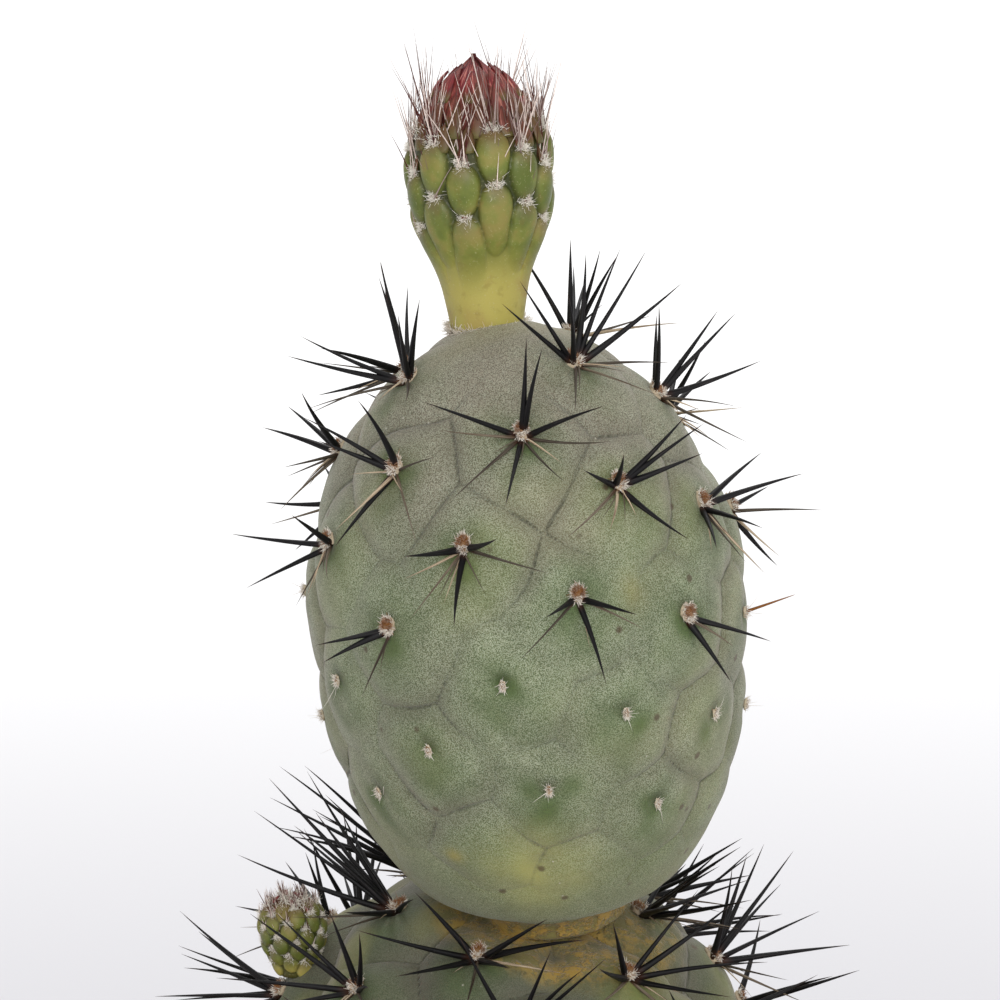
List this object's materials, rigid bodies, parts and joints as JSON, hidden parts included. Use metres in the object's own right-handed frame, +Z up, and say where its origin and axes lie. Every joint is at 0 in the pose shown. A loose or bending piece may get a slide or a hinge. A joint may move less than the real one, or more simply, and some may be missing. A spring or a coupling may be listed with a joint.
{
  "type": "potted segmented cactus",
  "caption": "Potted segmented cactus: an egg-shaped spiny joint with a flower bud on a rounder joint, in gritty mix in a plain clay pot.",
  "frame": {"origin": "centre of the pot's flat foot, on the surface it stands on", "axes": "+Z up through the middle of the pot, -Y towards the side the upper joint leans to, +X to the right seen from that side"},
  "size_m": [0.12, 0.12, 0.2542],
  "materials": {
    "pot": "matt fired clay",
    "potting_mix": "gritty, dry, matt",
    "skin": "matt waxy grey-green skin with fine pale speckle",
    "spines": "satin black, brown at the foot",
    "bud_green": "satin yellow-green",
    "tepals": "satin rose red"
  },
  "bodies": {
    "root": {"flower_bud_tube": "bud_green", "inner_tepals": "tepals", "lower_joint": "skin", "lower_spines_01": "spines", "lower_spines_02": "spines", "lower_spines_03": "spines", "lower_spines_04": "spines", "lower_spines_05": "spines", "lower_spines_06": "spines", "lower_spines_07": "spines", "lower_spines_08": "spines", "lower_spines_09": "spines", "lower_spines_10": "spines", "lower_spines_11": "spines", "lower_spines_12": "spines", "lower_spines_13": "spines", "lower_spines_14": "spines", "lower_spines_15": "spines", "lower_spines_16": "spines", "lower_spines_17": "spines", "lower_spines_18": "spines", "lower_spines_19": "spines", "lower_spines_20": "spines", "lower_spines_21": "spines", "outer_tepal_1": "tepals", "outer_tepal_2": "tepals", "outer_tepal_3": "tepals", "outer_tepal_4": "tepals", "outer_tepal_5": "tepals", "pot": "pot", "potting_mix": "potting_mix", "side_bud": "bud_green", "upper_joint": "skin", "upper_spines_01": "spines", "upper_spines_02": "spines", "upper_spines_03": "spines", "upper_spines_04": "spines", "upper_spines_05": "spines", "upper_spines_06": "spines", "upper_spines_07": "spines", "upper_spines_08": "spines", "upper_spines_09": "spines", "upper_spines_10": "spines", "upper_spines_11": "spines", "upper_spines_12": "spines", "upper_spines_13": "spines", "upper_spines_14": "spines", "upper_spines_15": "spines", "upper_spines_16": "spines", "upper_spines_17": "spines", "upper_spines_18": "spines", "upper_spines_19": "spines", "upper_spines_20": "spines", "upper_spines_21": "spines", "upper_spines_22": "spines"}
  },
  "joints": []
}
